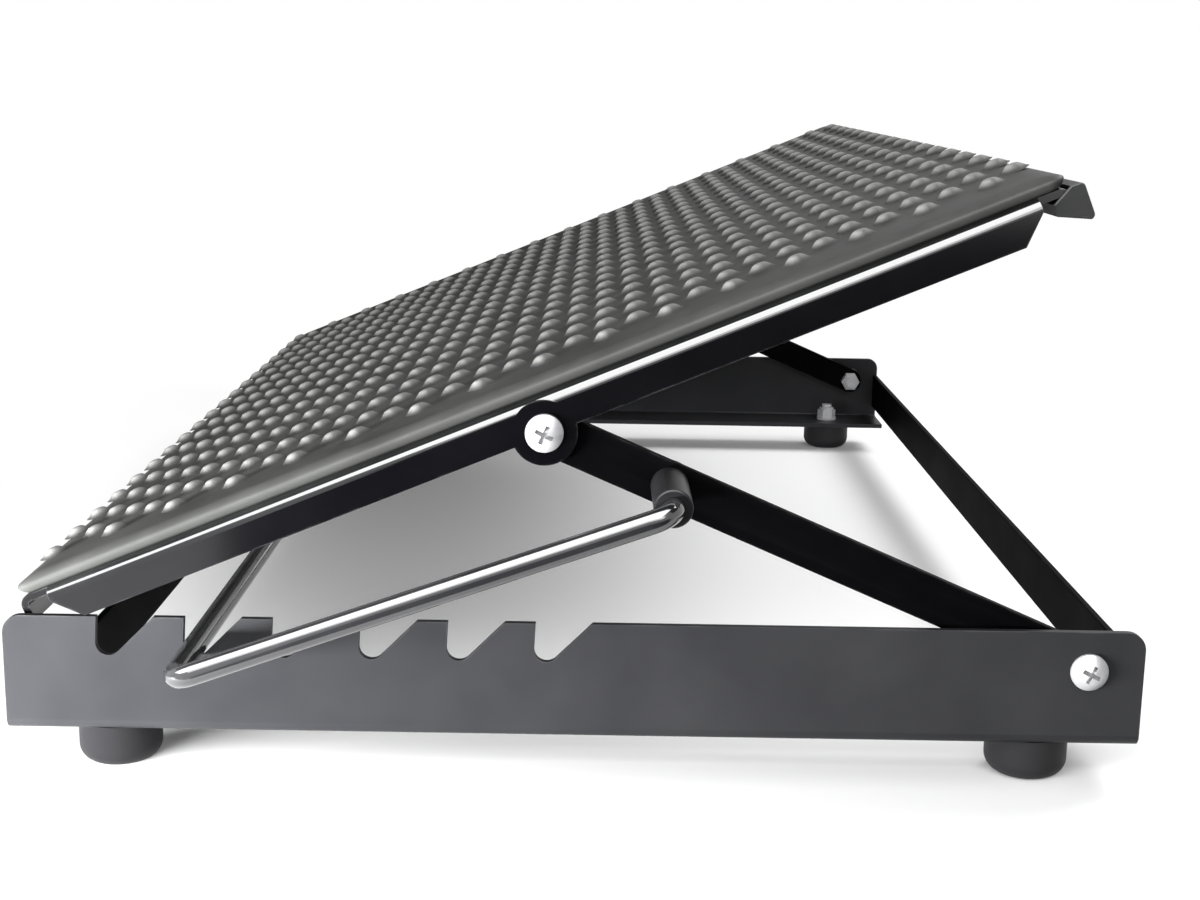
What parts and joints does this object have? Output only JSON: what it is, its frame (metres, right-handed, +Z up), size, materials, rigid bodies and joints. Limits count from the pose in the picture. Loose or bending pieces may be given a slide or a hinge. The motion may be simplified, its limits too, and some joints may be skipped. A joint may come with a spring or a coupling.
{
  "type": "adjustable footrest",
  "caption": "Adjustable footrest: a rubber-matted rocking plate on swinging arms, propped by a bent-rod stay that drops into notches in a sheet-metal base.",
  "frame": {"origin": "on the floor, under the middle of the base", "axes": "+X from the low heel end to the high toe end, +Y across to the sitter's left, +Z up"},
  "size_m": [0.304, 0.528, 0.163],
  "materials": {
    "black_powder_coat": "satin powder coat",
    "black_rod_coat": "semi-gloss",
    "zinc_plate": "bright zinc",
    "spring_steel": "oiled",
    "foot_rubber": "matte",
    "mat_rubber": "matte, studded",
    "trim_rubber": "matte",
    "sleeve_plastic": "matte"
  },
  "bodies": {
    "base": {"left_rail": "black_powder_coat", "right_rail": "black_powder_coat", "front_cross_strip": "black_powder_coat", "rear_cross_strip": "black_powder_coat", "front_right_foot": "foot_rubber", "front_left_foot": "foot_rubber", "rear_right_foot": "foot_rubber", "rear_left_foot": "foot_rubber", "foot_screws": "zinc_plate", "foot_washers": "zinc_plate", "foot_nuts": "zinc_plate", "base_pivot_screws": "zinc_plate", "base_pivot_washers": "zinc_plate", "base_pivot_nuts": "zinc_plate"},
    "arms": {"left_arm": "black_powder_coat", "right_arm": "black_powder_coat"},
    "plate": {"tread_plate": "black_powder_coat", "tread_mat": "mat_rubber", "rear_edge_trim": "trim_rubber", "plate_pivot_screws": "zinc_plate", "plate_pivot_washers": "zinc_plate", "plate_pivot_nuts": "zinc_plate"},
    "stay": {"stay_rod": "black_rod_coat", "left_sleeve": "sleeve_plastic", "right_sleeve": "sleeve_plastic", "stay_push_nuts": "spring_steel"}
  },
  "joints": [
    {"name": "arm_lift", "type": "hinge", "parent": "base", "child": "arms", "pos_m": [0.1372, 0, 0.0331], "axis": [0, 1, 0], "range_deg": [0, 37]},
    {"name": "plate_tilt", "type": "hinge", "parent": "arms", "child": "plate", "pos_m": [-0.0087, 0, 0.09554], "axis": [0, 1, 0], "range_deg": [0, 36]},
    {"name": "stay_swing", "type": "hinge", "parent": "arms", "child": "stay", "pos_m": [0.02421, 0, 0.08146], "axis": [0, 1, 0], "range_deg": [-46, 0]}
  ],
  "couplings": [
    {"joint": "stay_swing", "follows": "arm_lift", "ratio": -1.23}
  ]
}
